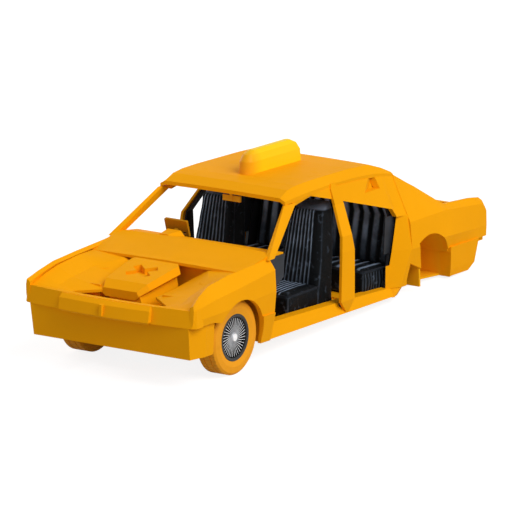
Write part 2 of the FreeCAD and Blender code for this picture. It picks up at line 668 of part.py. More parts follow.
# ---------------------------------------------------------------- assembly
def assemble():
    """Every node by name, each panel cut back to the ones it meets."""
    pairs = {"front_wing": front_wing(), "inner_wing": inner_wing(), "roof_rail": roof_rail(),
             "b_pillar": b_pillar(), "sill": sill(),
             "rear_quarter": rear_quarter(), "rear_wheelhouse": rear_wheelhouse(),
             "b_pillar_trim": b_pillar_trim(), "quarter_trim": quarter_trim(),
             "front_seat": front_seat()}
    singles = {"front_bumper": front_bumper(), "nose_panel": nose_panel(),
               "radiator_panel": radiator_panel(), "engine_block": engine_block(),
               "bulkhead": bulkhead(), "scuttle": joined([scuttle(), dash_top()]), "roof_panel": roof_panel(),
               "rear_panel": rear_panel(), "boot_floor": boot_floor(), "parcel_shelf": parcel_shelf(),
               "floor_pan": floor_pan(), "dashboard": dashboard(),
               "steering_column": steering_column(), "steering_wheel": steering_wheel(),
               "interior_mirror": interior_mirror(), "headlining": headlining(),
               "rear_seat": rear_seat(), "taxi_sign": taxi_sign(), "damper_legs": damper_legs(),
               "front_subframe": front_subframe()}
    # each panel gives way to the ones before it
    order = ("roof_panel", "taxi_sign", "front_bumper", "nose_panel", "front_wing", "roof_rail",
             "b_pillar", "rear_quarter", "inner_wing", "sill", "scuttle", "floor_pan",
             "bulkhead", "parcel_shelf", "rear_panel", "rear_wheelhouse", "boot_floor",
             "engine_block", "radiator_panel", "dashboard", "steering_column",
             "steering_wheel", "b_pillar_trim", "quarter_trim", "headlining", "rear_seat",
             "front_seat", "interior_mirror", "damper_legs", "front_subframe")
    placed = {}
    for name in order:
        if name in pairs:
            left = cut(pairs[name], list(placed.values()))
            placed[name + "_left"] = left
            placed[name + "_right"] = mirrored(left)
        else:
            placed[name] = cut(singles[name], list(placed.values()))
    running = {"knuckle": knuckle(), "brake_disc": brake_disc(), "tyre": tyre(), "lace_wheel": lace_wheel()}
    for name, left in running.items():
        placed[name + "_left"] = left
        placed[name + "_right"] = mirrored(left)
    return placed


def rest_pitch():
    """Angle in degrees that lowers the tail from level until its valance meets the ground."""
    reach = math.hypot(VALANCE_FOOT_Y, TYRE_RADIUS - VALANCE_FOOT_Z)
    lift = math.atan2(TYRE_RADIUS - VALANCE_FOOT_Z, VALANCE_FOOT_Y)
    return math.degrees(math.asin(TYRE_RADIUS / reach) - lift)


def main():
    """Build the car, stand it on its front tyres and valance, and write one file per node."""
    os.makedirs("parts", exist_ok=True)
    nodes = assemble()
    for shape in nodes.values():
        shape.rotate(V(0, 0, TYRE_RADIUS), V(1, 0, 0), -rest_pitch())
    span = Part.Compound(list(nodes.values())).BoundBox
    middle_y = (span.YMin + span.YMax) / 2
    for name, shape in nodes.items():
        shape.translate(V(0, -middle_y, 0))
        shape.exportStep("parts/" + name + ".step")
    print("pitch", round(rest_pitch(), 4), "middle_y", round(middle_y, 3), "nodes", len(nodes))
    print("size", [round(v, 1) for v in (span.XLength, span.YLength, span.ZLength)], "low", span.ZMin)


main()
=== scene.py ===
"""Looks of a stripped four-door taxi saloon, built round its packed construction model."""

import json
import logging
import math
from collections.abc import Iterable, Mapping, Sequence
from dataclasses import dataclass
from enum import Enum

import bmesh
import bpy
from mathutils import Matrix, Vector, noise

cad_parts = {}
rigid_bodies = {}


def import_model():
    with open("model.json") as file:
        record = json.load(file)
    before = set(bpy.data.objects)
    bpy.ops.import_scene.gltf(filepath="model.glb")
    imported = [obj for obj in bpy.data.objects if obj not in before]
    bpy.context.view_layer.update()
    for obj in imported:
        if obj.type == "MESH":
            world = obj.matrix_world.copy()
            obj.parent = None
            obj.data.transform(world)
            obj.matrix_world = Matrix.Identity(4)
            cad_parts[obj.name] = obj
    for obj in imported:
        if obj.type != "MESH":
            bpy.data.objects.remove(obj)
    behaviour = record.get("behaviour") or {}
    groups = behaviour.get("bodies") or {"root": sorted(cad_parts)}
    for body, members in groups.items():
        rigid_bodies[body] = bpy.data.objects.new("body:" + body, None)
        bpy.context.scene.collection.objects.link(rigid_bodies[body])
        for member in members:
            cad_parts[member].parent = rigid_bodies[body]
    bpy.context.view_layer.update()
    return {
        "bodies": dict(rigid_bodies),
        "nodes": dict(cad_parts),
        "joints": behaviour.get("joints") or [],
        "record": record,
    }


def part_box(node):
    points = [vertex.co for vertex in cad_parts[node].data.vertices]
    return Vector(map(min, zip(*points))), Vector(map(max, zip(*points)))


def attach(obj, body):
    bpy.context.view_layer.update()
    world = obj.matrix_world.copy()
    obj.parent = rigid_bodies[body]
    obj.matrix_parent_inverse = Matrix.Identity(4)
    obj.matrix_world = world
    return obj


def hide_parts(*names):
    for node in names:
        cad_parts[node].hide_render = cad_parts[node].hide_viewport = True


log = logging.getLogger("taxi")
Colour = tuple[float, float, float]
Point = tuple[float, float, float]
Band = tuple[float, float]
Frame = Mapping[str, Mapping[str, bpy.types.Object]]
SIDES = ((1, "left"), (-1, "right"))
WHITE = (1.0, 1.0, 1.0, 1.0)


class Slot(Enum):
    """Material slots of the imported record."""

    PAINT = "orange_paint"
    PLASTIC = "orange_plastic"
    LEATHER = "seat_leather"
    TRIM = "black_trim"
    TYRE = "tyre_orange"
    WHEEL = "wheel_silver"
    DISC = "disc_steel"
    IRON = "chassis_iron"
    SIGN = "sign_yellow"


class Along(Enum):
    """Axis that a pad's stations follow."""

    UP = "z"
    BACK = "y"


class Run(Enum):
    """Way that sewn channels run: which pad shares lie across them and along them."""

    LENGTHWISE = (0, 2)
    THROUGH = (2, 1)


def rgb(code: str) -> Colour:
    """Linear colour of a six-figure hexadecimal code.

    Args:
        code: two figures each for red, green and blue.

    Returns:
        The linear share of each.
    """
    parts = [int(code[i:i + 2], 16) / 255 for i in (0, 2, 4)]
    linear = [p / 12.92 if p <= 0.04045 else ((p + 0.055) / 1.055) ** 2.4 for p in parts]
    return linear[0], linear[1], linear[2]


def smooth(low: float, high: float, value: float) -> float:
    """Eased share of the way from low to high."""
    share = min(1.0, max(0.0, (value - low) / (high - low)))
    return share * share * (3 - 2 * share)


# ------------------------------------------------------------------ stance
@dataclass(frozen=True)
class Stance:
    """How the car stands: tail down about its front hubs, with middle_y over the row frame's origin."""

    pitch_degrees: float = 4.0175
    hub_height: float = 0.33
    middle_y: float = 1.566215

    def matrix(self) -> Matrix:
        """Matrix from the car's own level frame to the row frame.

        Returns:
            A turn about the front hubs, then a shift along the car.
        """
        hub = Vector((0, 0, self.hub_height))
        turn = Matrix.Rotation(math.radians(-self.pitch_degrees), 4, "X")
        shift = Matrix.Translation((0, -self.middle_y, 0))
        return shift @ Matrix.Translation(hub) @ turn @ Matrix.Translation(-hub)


STANCE = Stance()


# ------------------------------------------------------------------ shader maths
class Graph:
    """Node tree of one material or world."""

    def __init__(self, tree: bpy.types.NodeTree) -> None:
        """Empty the tree and keep it."""
        self.tree = tree
        tree.nodes.clear()

    def node(self, kind: str, settings: Mapping[str, object] | None = None,
             inputs: Mapping[int | str, object] | None = None) -> bpy.types.Node:
        """Add one node.

        Args:
            kind: the node's type name.
            settings: properties, set first.
            inputs: a value or a Field for each socket.

        Returns:
            The new node.
        """
        made = self.tree.nodes.new(kind)
        for key, value in (settings or {}).items():
            setattr(made, key, value)
        for key, value in (inputs or {}).items():
            if isinstance(value, Field):
                self.tree.links.new(value.socket, made.inputs[key])
            else:
                made.inputs[key].default_value = value
        return made

    def field(self, kind: str, output: int | str = 0,
              settings: Mapping[str, object] | None = None,
              inputs: Mapping[int | str, object] | None = None) -> "Field":
        """Add a node and wrap one of its outputs."""
        return Field(self, self.node(kind, settings, inputs).outputs[output])

    def place(self) -> "Field":
        """Position in object space, which is the row frame at rest."""
        return self.field("ShaderNodeTexCoord", "Object")

    def axes(self) -> tuple["Field", "Field", "Field"]:
        """The three numbers of the position."""
        outputs = self.node("ShaderNodeSeparateXYZ", None, {0: self.place()}).outputs
        return Field(self, outputs[0]), Field(self, outputs[1]), Field(self, outputs[2])

    def noise(self, scale: float, detail: float) -> "Field":
        """Noise of about 0.5 in object space."""
        inputs = {"Vector": self.place(), "Scale": scale, "Detail": detail}
        return self.field("ShaderNodeTexNoise", "Fac", None, inputs)

    def cells(self, scale: float, feature: str = "F1") -> "Field":
        """Distances in a pattern of irregular cells in object space."""
        return self.field("ShaderNodeTexVoronoi", "Distance", {"feature": feature},
                          {"Vector": self.place(), "Scale": scale})

    def mark(self, name: str) -> "Field":
        """A number stored on the mesh."""
        return self.field("ShaderNodeAttribute", "Fac", {"attribute_name": name})

    def blend(self, share: "Field | float", first: "Field | Colour", second: "Field | Colour") -> "Field":
        """Mix two colours.

        Args:
            share: how much of the second.
            first: colour at 0.
            second: colour at 1.

        Returns:
            The mixed colour.
        """
        ends = [end if isinstance(end, Field) else (*end, 1.0) for end in (first, second)]
        return self.field("ShaderNodeMix", 2, {"data_type": "RGBA"}, {0: share, 6: ends[0], 7: ends[1]})

    def bump(self, height: "Field", distance: float, strength: float) -> "Field":
        """Normal from a height."""
        return self.field("ShaderNodeBump", "Normal", None,
                          {"Height": height, "Distance": distance, "Strength": strength})

    def surface(self, shader: "Field") -> None:
        """Send a shader to a material's output."""
        self.node("ShaderNodeOutputMaterial", None, {"Surface": shader})


class Field:
    """A shader socket that takes part in written arithmetic."""

    def __init__(self, graph: Graph, socket: bpy.types.NodeSocket) -> None:
        """Keep the graph and the socket."""
        self.graph = graph
        self.socket = socket

    def maths(self, operation: str, *others: "Field | float", clamp: bool = False) -> "Field":
        """One Math node with this value first."""
        values = dict(enumerate((self, *others)))
        return self.graph.field("ShaderNodeMath", 0, {"operation": operation, "use_clamp": clamp}, values)

    def after(self, operation: str, other: float) -> "Field":
        """One Math node with this value second."""
        return self.graph.field("ShaderNodeMath", 0, {"operation": operation}, {0: other, 1: self})

    def __add__(self, other: "Field | float") -> "Field":
        """Sum."""
        return self.maths("ADD", other)

    def __radd__(self, other: float) -> "Field":
        """Sum, number first."""
        return self.after("ADD", other)

    def __sub__(self, other: "Field | float") -> "Field":
        """Difference."""
        return self.maths("SUBTRACT", other)

    def __rsub__(self, other: float) -> "Field":
        """Difference, number first."""
        return self.after("SUBTRACT", other)

    def __mul__(self, other: "Field | float") -> "Field":
        """Product."""
        return self.maths("MULTIPLY", other)

    def __rmul__(self, other: float) -> "Field":
        """Product, number first."""
        return self.after("MULTIPLY", other)

    def __abs__(self) -> "Field":
        """Size without sign."""
        return self.maths("ABSOLUTE")

    def step(self, low: float, high: float) -> "Field":
        """Eased 0 to 1 as this goes from low to high."""
        return self.graph.field("ShaderNodeMapRange", 0, {"interpolation_type": "SMOOTHSTEP"},
                                {0: self, 1: low, 2: high, 3: 0.0, 4: 1.0})


# ------------------------------------------------------------------ finishes
@dataclass(frozen=True)
class Finish:
    """A finish: a named material made once."""

    name: str
    slot: Slot

    def dress(self, graph: Graph) -> Mapping[str, object]:
        """Sockets of the shader that this finish sets; each kind has its own."""
        raise NotImplementedError

    def material(self) -> bpy.types.Material:
        """The finish's material.

        Returns:
            The one made at the first call.
        """
        found = bpy.data.materials.get(self.name)
        if found:
            return found
        made = bpy.data.materials.new(self.name)
        made.use_nodes = True
        graph = Graph(made.node_tree)
        graph.surface(graph.field("ShaderNodeBsdfPrincipled", 0, None, self.dress(graph)))
        return made


@dataclass(frozen=True)
class Paint(Finish):
    """Sprayed body colour: nearly even, with faint mottle, dust and orange peel."""

    colour: Colour = rgb("f9a708")
    roughness: float = 0.55
    gloss: float = 0.03
    darkest: float = 0.965
    dust: Colour = rgb("c98f3c")
    dustiest: float = 0.03

    def dress(self, graph: Graph) -> Mapping[str, object]:
        """Let the colour drift by a few percent and dull it with dust in patches.

        Args:
            graph: the material's nodes.

        Returns:
            The shader's sockets.
        """
        mottle = graph.noise(scale=2.1, detail=3.0).step(0.3, 0.7)
        dust = graph.noise(scale=9.0, detail=5.0).step(0.52, 0.78)
        peel = graph.noise(scale=420.0, detail=1.0)
        dark = tuple(c * self.darkest for c in self.colour)
        base = graph.blend(dust * self.dustiest, graph.blend(mottle, dark, self.colour), self.dust)
        return {"Base Color": base, "Roughness": self.roughness + dust * 0.14,
                "Specular IOR Level": self.gloss,
                "Normal": graph.bump(peel, distance=0.00012, strength=0.5)}


@dataclass(frozen=True)
class Leather(Finish):
    """Black hide: fine grain; grey on its pleats' crests, part wear and part painted highlight,
    and a top painted lighter grey as painted light.
    """

    deep: Colour = rgb("05080b")
    # Colours of the crests, part wear and part painted highlight, and of the top, painted lighter grey as
    # painted light.
    worn_and_highlit: Colour = rgb("b2c8e4")
    slate: Colour = rgb("6d7584")
    roughness: float = 0.55
    creased: float = 0.10

    def dress(self, graph: Graph) -> Mapping[str, object]:
        """Carry the crests' wear and painted highlight by the crest mark, broken by noise, and the painted
        lighter top by the pale mark.

        Args:
            graph: the material's nodes.

        Returns:
            The shader's sockets.
        """
        patches = graph.noise(scale=7.0, detail=4.0)
        # Crest share: wear on the pleats' crests, and a painted highlight on them.
        wear_and_highlight = graph.mark("crest_wear_highlight") * (patches.step(0.25, 0.75) * 0.7 + 0.3)
        creases = graph.noise(scale=16.0, detail=6.0).step(0.58, 0.72) * self.creased
        hide = graph.blend(wear_and_highlight.maths("ADD", creases, clamp=True), self.deep, self.worn_and_highlit)
        # Painted light: the top over the pale mark is painted a lighter grey.
        base = graph.blend(graph.mark("pale") * (patches * 0.5 + 0.6), hide, self.slate)
        grain = graph.cells(420.0, "DISTANCE_TO_EDGE").step(0.0, 0.16)
        height = grain + graph.noise(scale=22.0, detail=5.0) * 4.0
        return {"Base Color": base, "Roughness": self.roughness - wear_and_highlight * 0.12 + patches * 0.08,
                "Specular IOR Level": 0.09, "Normal": graph.bump(height, distance=0.0006, strength=0.6)}


@dataclass(frozen=True)
class Trim(Finish):
    """Slate-black moulded or covered trim with a pressed grain."""

    colour: Colour = rgb("171a1f")
    pale: Colour = rgb("3a3f49")
    roughness: float = 0.62
    scuffed: float = 0.6

    def dress(self, graph: Graph) -> Mapping[str, object]:
        """Put the grain in the bump and faint scuffs in the colour.

        Args:
            graph: the material's nodes.

        Returns:
            The shader's sockets.
        """
        scuff = graph.noise(scale=5.0, detail=6.0).step(0.45, 0.8)
        return {"Base Color": graph.blend(scuff * self.scuffed, self.colour, self.pale),
                "Roughness": self.roughness + scuff * 0.1, "Specular IOR Level": 0.35,
                "Normal": graph.bump(graph.cells(300.0), distance=0.0005, strength=0.5)}


@dataclass(frozen=True)
class Lining(Finish):
    """Black woven roof lining."""

    colour: Colour = rgb("16181c")
    thread: Colour = rgb("2b2e35")
    weave: float = 2400.0

    def dress(self, graph: Graph) -> Mapping[str, object]:
        """Cross two sets of threads.

        Args:
            graph: the material's nodes.

        Returns:
            The shader's sockets.
        """
        x, y, _ = graph.axes()
        share = (x * self.weave).maths("SINE") * (y * self.weave).maths("SINE") * 0.5 + 0.5
        return {"Base Color": graph.blend(share, self.colour, self.thread), "Roughness": 0.9,
                "Specular IOR Level": 0.2, "Normal": graph.bump(share, distance=0.0004, strength=0.5)}


@dataclass(frozen=True)
class Turned(Finish):
    """A finish that follows the radius from a wheel's hub, in metres."""

    hub: Point

    def about(self, graph: Graph) -> tuple[Field, Field, Field]:
        """Places about the hub.

        Args:
            graph: the material's nodes.

        Returns:
            Distance back from the hub, distance up from it, and radius.
        """
        _, y, z = graph.axes()
        back = y - self.hub[1]
        up = z - self.hub[2]
        return back, up, (back * back + up * up).maths("SQRT")


@dataclass(frozen=True)
class Rubber(Turned):
    """Orange-painted tyre: fine ribs round the sidewall, sipes across the tread."""

    colour: Colour = rgb("f2a013")
    grime: Colour = rgb("a96a10")
    tread: Band = (0.322, 0.327)
    wall: Band = (0.25, 0.262)
    rib_pitch: float = 900.0
    sipe_count: float = 46.0

    def dress(self, graph: Graph) -> Mapping[str, object]:
        """Let ribs follow the radius and sipes the angle.

        Args:
            graph: the material's nodes.

        Returns:
            The shader's sockets.
        """
        back, up, radius = self.about(graph)
        tread = radius.step(*self.tread)
        ribs = (radius * self.rib_pitch).maths("SINE") * (1.0 - tread) * radius.step(*self.wall)
        sipes = (up.maths("ARCTAN2", back) * self.sipe_count).maths("SINE").step(0.75, 0.95) * tread
        dirt = graph.noise(scale=11.0, detail=5.0).step(0.5, 0.8)
        # The sipes take the grime colour as painted shade in the grooves; the noise patches are dirt.
        base = graph.blend(dirt * 0.16 + sipes * 0.25, self.colour, self.grime)
        return {"Base Color": base, "Roughness": 0.72 + dirt * 0.12, "Specular IOR Level": 0.25,
                "Normal": graph.bump(ribs * 0.5 - sipes * 3.0, distance=0.0006, strength=0.6)}


@dataclass(frozen=True)
class LaceMetal(Turned):
    """Bright lace wheel: white cap, grey dome, bright front spokes with painted shade on their sides
    and behind them, and dark at the rim.

    The first bands are radii, and the last three are depths behind the face, which is at face_x.
    """

    face_x: float = 0.8325
    cap: Band = (0.026, 0.040)
    dome: Band = (0.045, 0.11)
    clear_of_dome: Band = (0.045, 0.10)
    rim: Band = (0.168, 0.172)
    # Depth bands of painted shade: the spokes' sides, the second row and the barrel.
    flank: Band = (0.0225, 0.0245)
    second_row: Band = (0.030, 0.034)
    barrel: Band = (0.034, 0.038)
    grimed: float = 0.15

    def dress(self, graph: Graph) -> Mapping[str, object]:
        """Colour the wheel in bands of radius, and paint shade in bands of depth.

        Args:
            graph: the material's nodes.

        Returns:
            The shader's sockets.
        """
        x, _, _ = graph.axes()
        _, _, radius = self.about(graph)
        depth = self.face_x - abs(x)
        outward = radius.step(*self.clear_of_dome)
        spokes = graph.blend(radius.step(*self.dome), rgb("aeb0b4"), rgb("f6f8fa"))
        front = graph.blend(radius.step(*self.cap), rgb("ffffff"), spokes)
        # Painted shade: the second row of spokes is dark, black away from the hub, and the front row's
        # sides grey.
        rear = graph.blend(outward, rgb("46484b"), rgb("020203"))
        shaded_flanks = graph.blend(depth.step(*self.flank) * outward, front, rgb("303132"))
        layered = graph.blend(depth.step(*self.second_row), shaded_flanks, rear)
        rim = radius.step(*self.rim)
        # Painted shade: black deep in the barrel.
        shade = depth.step(*self.barrel) * outward
        grime = graph.noise(scale=40.0, detail=4.0).step(0.5, 0.85) * self.grimed
        rimmed = graph.blend(rim, graph.blend(grime, layered, rgb("6d6a66")), rgb("353534"))
        return {"Base Color": graph.blend(shade, rimmed, rgb("040405")),
                "Metallic": (1.0 - shade) * (1.0 - rim) * 0.12,
                "Roughness": 0.4 + grime, "Specular IOR Level": 0.2,
                "Normal": graph.bump(graph.noise(scale=260.0, detail=2.0), distance=0.0002, strength=0.4)}


@dataclass(frozen=True)
class Metal(Finish):
    """Bare or blackened metal with cast roughness and rust blush."""

    colour: Colour = rgb("4b4a48")
    rust: Colour = rgb("5d4028")
    rusted: float = 0.35
    metallic: float = 0.7
    roughness: float = 0.5

    def dress(self, graph: Graph) -> Mapping[str, object]:
        """Gather rust in patches that are rougher and less metallic.

        Args:
            graph: the material's nodes.

        Returns:
            The shader's sockets.
        """
        patch = graph.noise(scale=8.0, detail=6.0).step(0.45, 0.7) * self.rusted
        pits = graph.noise(scale=160.0, detail=3.0)
        return {"Base Color": graph.blend(patch, self.colour, self.rust),
                "Metallic": self.metallic - patch * self.metallic,
                "Roughness": self.roughness + patch * 0.35,
                "Normal": graph.bump(pits, distance=0.0008, strength=0.5)}


@dataclass(frozen=True)
class SignShell(Finish):
    """Moulded sign: yellow, turning orange at its front end."""

    front_y: float
    yellow: Colour = rgb("f9ce08")
    orange: Colour = rgb("f59c10")
    bleached: Colour = rgb("fff0a0")
    turn: Band = (-0.02, 0.26)

    def dress(self, graph: Graph) -> Mapping[str, object]:
        """Fade the orange out over a hand's width from the front, with a faint bleached haze.

        Args:
            graph: the material's nodes.

        Returns:
            The shader's sockets.
        """
        _, y, _ = graph.axes()
        drift = graph.noise(scale=5.0, detail=3.0) * 0.05
        share = 1.0 - (y + drift).step(self.front_y + self.turn[0], self.front_y + self.turn[1])
        haze = graph.noise(scale=30.0, detail=3.0).step(0.5, 0.9) * 0.03
        base = graph.blend(haze, graph.blend(share, self.yellow, self.orange), self.bleached)
        return {"Base Color": base, "Roughness": 0.46 + haze, "Specular IOR Level": 0.12,
                "Normal": graph.bump(graph.noise(scale=90.0, detail=2.0), distance=0.0002, strength=0.4)}


BODY = Paint("body_paint", Slot.PAINT)
# Wheelhouse: the body's orange lightened, painted light inside the arch where shade falls.
ARCH_LIGHTENED = Paint("wheelhouse_paint_lightened", Slot.PAINT, rgb("f8b014"), roughness=0.7, gloss=0.02)
# Mirror: a brighter orange, painted light where it sits in the roof's shade.
MIRROR_LIGHTENED = Paint("mirror_plastic_lightened", Slot.PLASTIC, rgb("ffbe2a"))
PLASTIC = Paint("wheel_plastic", Slot.PLASTIC, rgb("b97c0c"), roughness=0.58, gloss=0.06)
HIDE = Leather("seat_hide", Slot.LEATHER)
SLATE = Trim("slate_trim", Slot.TRIM)
LINING = Lining("roof_lining", Slot.TRIM)
IRON = Metal("chassis_iron_finish", Slot.IRON)
DISC = Metal("disc_steel_finish", Slot.DISC, rgb("8b8c8e"), rusted=0.25, metallic=0.9, roughness=0.35)
PIPING = Leather("seat_piping", Slot.LEATHER, rgb("23262d"), rgb("5a5e68"))


# ------------------------------------------------------------------ mesh helpers
def mesh_object(name: str, build: bmesh.types.BMesh, finish: Finish) -> bpy.types.Object:
    """Finish a mesh: into an object, smooth, dressed, in the scene.

    Args:
        name: the piece's name.
        build: the mesh, freed here.
        finish: its finish.

    Returns:
        The new object.
    """
    bmesh.ops.recalc_face_normals(build, faces=build.faces)
    data = bpy.data.meshes.new(name)
    build.to_mesh(data)
    build.free()
    made = bpy.data.objects.new(name, data)
    bpy.context.scene.collection.objects.link(made)
    made.data.materials.append(finish.material())
    made.data.shade_smooth()
    return made


def tube(name: str, points: Sequence[Point], radius: float, finish: Finish) -> bpy.types.Object:
    """Round piping sewn along a line given in the level frame.

    Args:
        name: the piece's name.
        points: its centre line.
        radius: half its thickness in metres.
        finish: its finish.

    Returns:
        A mesh object in the row frame.
    """
    curve = bpy.data.curves.new(name, "CURVE")
    curve.dimensions = "3D"
    curve.bevel_depth = radius
    curve.bevel_resolution = 2
    curve.use_fill_caps = True
    spline = curve.splines.new("POLY")
    spline.points.add(len(points) - 1)
    for knot, place in zip(spline.points, points):
        knot.co = (*(STANCE.matrix() @ Vector(place)), 1.0)
    holder = bpy.data.objects.new(name + "_line", curve)
    bpy.context.scene.collection.objects.link(holder)
    shaped = holder.evaluated_get(bpy.context.evaluated_depsgraph_get())
    build = bmesh.new()
    build.from_mesh(bpy.data.meshes.new_from_object(shaped))
    bpy.data.objects.remove(holder)
    return mesh_object(name, build, finish)


def add_prism(build: bmesh.types.BMesh, near: Sequence[Point], far: Sequence[Point]) -> None:
    """Add a closed solid between two like outlines given in the level frame.

    Args:
        build: the mesh that gets it, in the row frame.
        near: one end.
        far: the other end, point for point.
    """
    start, end = ([build.verts.new(STANCE.matrix() @ Vector(place)) for place in outline]
                  for outline in (near, far))
    build.faces.new(reversed(start))
    build.faces.new(end)
    for i in range(len(start)):
        j = (i + 1) % len(start)
        build.faces.new((start[i], start[j], end[j], end[i]))


def sheet(name: str, corners: Sequence[Point], side: int, thickness: float,
          finish: Finish) -> bpy.types.Object:
    """Flat sheet through corners given in the level frame on the car's left.

    Args:
        name: the piece's name.
        corners: its outline.
        side: 1 for the left, -1 for the mirrored right.
        thickness: its thickness in metres, half to each face.
        finish: its finish.

    Returns:
        A mesh object in the row frame.
    """
    outline = [Vector((side * x, y, z)) for x, y, z in corners]
    normal = (outline[1] - outline[0]).cross(outline[2] - outline[1]).normalized() * thickness / 2
    build = bmesh.new()
    add_prism(build, [place - normal for place in outline], [place + normal for place in outline])
    made = mesh_object(name, build, finish)
    made.data.shade_flat()
    return made


def apply_modifiers(made: bpy.types.Object) -> None:
    """Turn the object's modifiers into its mesh.

    Args:
        made: the object; its old mesh is removed.
    """
    graph = bpy.context.evaluated_depsgraph_get()
    fresh = bpy.data.meshes.new_from_object(made.evaluated_get(graph))
    made.modifiers.clear()
    old, made.data = made.data, fresh
    name = old.name
    bpy.data.meshes.remove(old)
    fresh.name = name


def moved_copy(made: bpy.types.Object, name: str, shift: float) -> bpy.types.Object:
    """Copy of a piece moved sideways.

    Args:
        made: the piece.
        name: the copy's name.
        shift: how far it goes along X.

    Returns:
        The copy.
    """
    twin = made.copy()
    twin.data = made.data.copy()
    twin.name = name
    twin.data.transform(Matrix.Translation((shift, 0, 0)))
    bpy.context.scene.collection.objects.link(twin)
    return twin


def settle(piece: bpy.types.Object, finish: Finish, *stood_for: str) -> None:
    """Let a new piece ride on the body shell.

    Args:
        piece: the piece.
        finish: not used.
        stood_for: the plain nodes that it stands for.
    """
    if stood_for:
        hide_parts(*stood_for)
    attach(piece, "root")


# ------------------------------------------------------------------ upholstery
@dataclass(frozen=True)
class Channels:
    """Sewn channels on one face of a pad, between shares across it and along it.

    The crests carry wear and a painted highlight where their wave is over ridge; the highlight
    is painted dimmer towards the start, as painted shade.
    """

    facing: Point
    count: int
    depth: float
    first: float
    last: float
    start: float
    end: float
    run: Run = Run.LENGTHWISE
    wear_and_highlight: float = 1.0
    ridge: float = 0.90
    # Painted shade: how much the crests' highlight dims towards the start.
    highlight_fade: float = 0.0
    turned_away: Band = (0.45, 0.80)
    edge: float = 0.02
    margin: Band = (-0.04, 0.03)
    roundness: float = 0.55
    highlight_fades_until: float = 0.85

    def height(self, shares: Point, normal: Vector) -> tuple[float, float]:
        """How proud the hide stands, and how much wear and painted highlight it has, at a place on the pad.

        Args:
            shares: shares across, through and along the pad.
            normal: the surface's direction there.

        Returns:
            Movement along the normal in metres (0 or less), and wear with painted highlight, 0 on plain
            hide.
        """
        facing = smooth(*self.turned_away, normal.dot(Vector(self.facing)))
        across, along = (shares[index] for index in self.run.value)
        share = (across - self.first) / (self.last - self.first)
        inside = smooth(-self.edge, self.edge, share) * smooth(-self.edge, self.edge, 1 - share)
        before, after = self.margin
        window = smooth(self.start + before, self.start + after, along)
        window *= smooth(1 - self.end + before, 1 - self.end + after, 1 - along)
        wave = abs(math.sin(math.pi * self.count * share))
        mask = facing * inside * window
        # Crest colour share: wear and painted highlight.
        worn_and_highlit = mask * self.wear_and_highlight * smooth(self.ridge, 1.0, wave)
        # Painted shade: the highlight dims towards the start of the pad.
        worn_and_highlit *= 1.0 - self.highlight_fade * (1.0 - smooth(0.0, self.highlight_fades_until, along))
        return (wave ** self.roundness - 1.0) * self.depth * mask, worn_and_highlit


@dataclass(frozen=True)
class Filling:
    """Cloth settings that swell a pad's hide over its filling, and the most that a point may move."""

    pressure: float = 4.0
    tension: float = 15.0
    compression: float = 8.0
    quality: int = 5
    frames: int = 20
    most: float = 0.014


